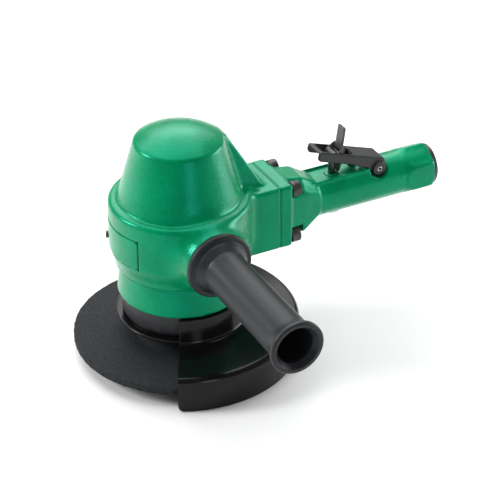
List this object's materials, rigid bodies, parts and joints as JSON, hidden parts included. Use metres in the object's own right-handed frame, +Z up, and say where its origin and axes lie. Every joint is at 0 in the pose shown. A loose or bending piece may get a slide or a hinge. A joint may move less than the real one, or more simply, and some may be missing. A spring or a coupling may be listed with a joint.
{
  "type": "air vertical grinder",
  "caption": "Air-driven vertical grinder: green cast housing, depressed-centre wheel under a half guard, throttle handle with lock-off lever, and a black side handle.",
  "frame": {"origin": "centre of the spindle's free lower end face", "axes": "+Z up the spindle, +X along the throttle handle towards the air inlet, -Y along the side handle"},
  "size_m": [0.3228, 0.2865, 0.2033],
  "materials": {
    "green_casting": "gloss enamel on cast aluminium",
    "black_guard": "gloss black enamel",
    "grey_cap": "satin dark anodised",
    "wheel_grit": "bonded abrasive",
    "rubber_grip": "satin moulded grip",
    "lever_black": "black oxide sheet",
    "steel": "machined",
    "dark_steel": "black oxide",
    "fibre": "laminated phenolic",
    "gasket_black": "sheet gasket"
  },
  "bodies": {
    "root": {"motor_housing": "green_casting", "exhaust_cover": "green_casting", "cover_screw": "dark_steel", "bearing_cap": "grey_cap", "spindle_seal": "gasket_black", "wheel_guard": "black_guard", "guard_screws": "steel", "lower_bearing_outer": "steel", "upper_bearing_outer": "steel", "lower_end_plate": "steel", "cylinder_liner": "steel", "upper_end_plate": "steel", "bearing_retainer": "dark_steel", "retainer_screws": "steel", "handle_gasket": "gasket_black", "throttle_handle": "green_casting", "flange_screws": "dark_steel", "inlet_bushing": "dark_steel", "inlet_strainer": "steel", "valve_guide": "lever_black", "valve_seat": "steel", "valve_cap": "steel", "valve_spring": "steel", "lever_pin": "steel", "side_grip": "rubber_grip", "side_bolt": "steel", "side_washer": "steel"},
    "lever": {"throttle_lever": "lever_black", "latch_pin": "steel", "latch_spring": "steel"},
    "latch": {"lock_latch": "lever_black"},
    "plunger": {"valve_plunger": "steel", "valve_poppet": "dark_steel"},
    "spindle": {"spindle": "steel", "rotor": "dark_steel", "rotor_vanes": "fibre", "lower_bearing_inner": "steel", "lower_bearing_balls": "steel", "upper_bearing_inner": "steel", "upper_bearing_balls": "steel", "inner_flange": "steel", "grinding_wheel": "wheel_grit", "clamp_nut": "dark_steel", "governor_carrier": "steel", "governor_pins": "steel", "governor_spring": "steel", "governor_nut": "steel"},
    "weight_a": {"governor_weight_a": "dark_steel"},
    "weight_b": {"governor_weight_b": "dark_steel"},
    "sleeve": {"governor_sleeve": "steel"}
  },
  "joints": [
    {"name": "spindle_spin", "type": "hinge", "parent": "root", "child": "spindle", "pos_m": [0, 0, 0], "axis": [0, 0, 1], "continuous": true},
    {"name": "lever_press", "type": "hinge", "parent": "root", "child": "lever", "pos_m": [0.1783, 0, 0.1124], "axis": [0, -1, 0], "range_deg": [0, 8], "stiffness_Nm_per_rad": 4, "springref_deg": -8.59},
    {"name": "latch_tip", "type": "hinge", "parent": "lever", "child": "latch", "pos_m": [0.13892, 0, 0.13109], "axis": [0, -1, 0], "range_deg": [0, 48.5]},
    {"name": "plunger_slide", "type": "slide", "parent": "root", "child": "plunger", "axis": [0, 0, -1], "range_m": [0, 0.0058], "deforming": ["valve_spring"]},
    {"name": "weight_a_swing", "type": "hinge", "parent": "spindle", "child": "weight_a", "pos_m": [0.014, 0, 0.143], "axis": [0, 1, 0], "range_deg": [0, 15.2]},
    {"name": "weight_b_swing", "type": "hinge", "parent": "spindle", "child": "weight_b", "pos_m": [-0.014, 0, 0.143], "axis": [0, -1, 0], "range_deg": [0, 15.2]},
    {"name": "governor_slide", "type": "slide", "parent": "spindle", "child": "sleeve", "axis": [0, 0, 1], "range_m": [0, 0.0017], "stiffness_N_per_m": 400, "springref_m": -0.005, "deforming": ["governor_spring"]}
  ],
  "couplings": [
    {"joint": "latch_tip", "follows": "lever_press", "ratio": 6},
    {"joint": "plunger_slide", "follows": "lever_press", "m_per_rad": 0.0408},
    {"joint": "weight_a_swing", "follows": "governor_slide", "rad_per_m": 153.8},
    {"joint": "weight_b_swing", "follows": "governor_slide", "rad_per_m": 153.8}
  ]
}
